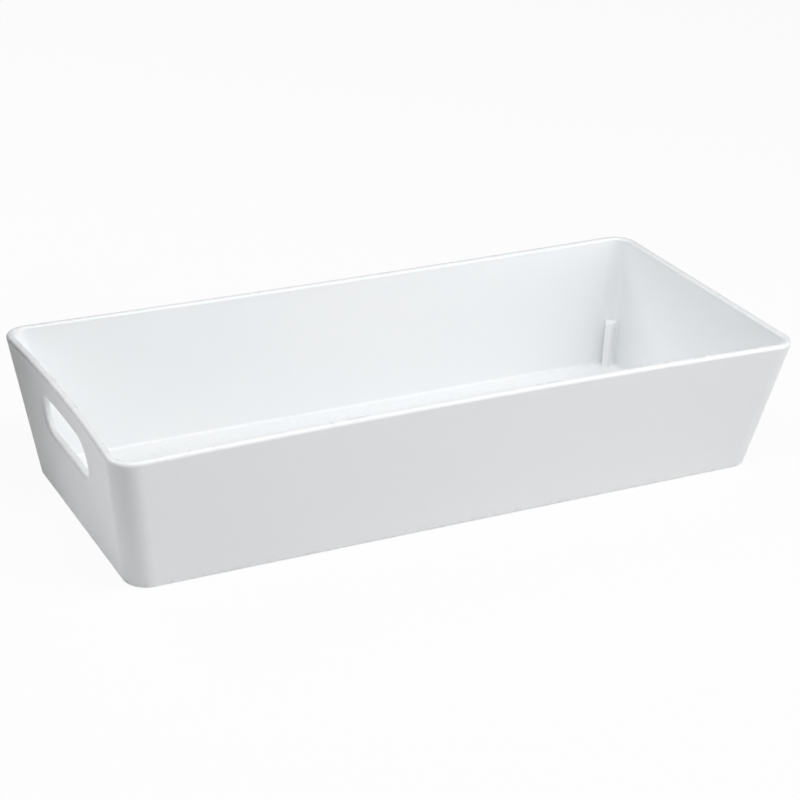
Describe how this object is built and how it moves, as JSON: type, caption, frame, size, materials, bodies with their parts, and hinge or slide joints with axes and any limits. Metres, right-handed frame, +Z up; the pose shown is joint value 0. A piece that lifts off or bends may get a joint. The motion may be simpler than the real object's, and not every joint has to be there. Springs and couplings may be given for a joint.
{
  "type": "storage tray",
  "caption": "Open rectangular storage tray with leaning walls, rounded corners, a thick rounded rim, a finger slot in an end wall and nesting ribs in the inside corners.",
  "frame": {"origin": "middle of the footprint of the whole tray, on the surface that it stands on", "axes": "+X along the length, towards the end wall without a slot; +Y along the width; +Z up out of the open top"},
  "size_m": [0.3396, 0.1585, 0.0675],
  "materials": {
    "white_plastic": "satin white polypropylene, smooth moulded surface"
  },
  "bodies": {
    "root": {"tray": "white_plastic"}
  },
  "joints": []
}
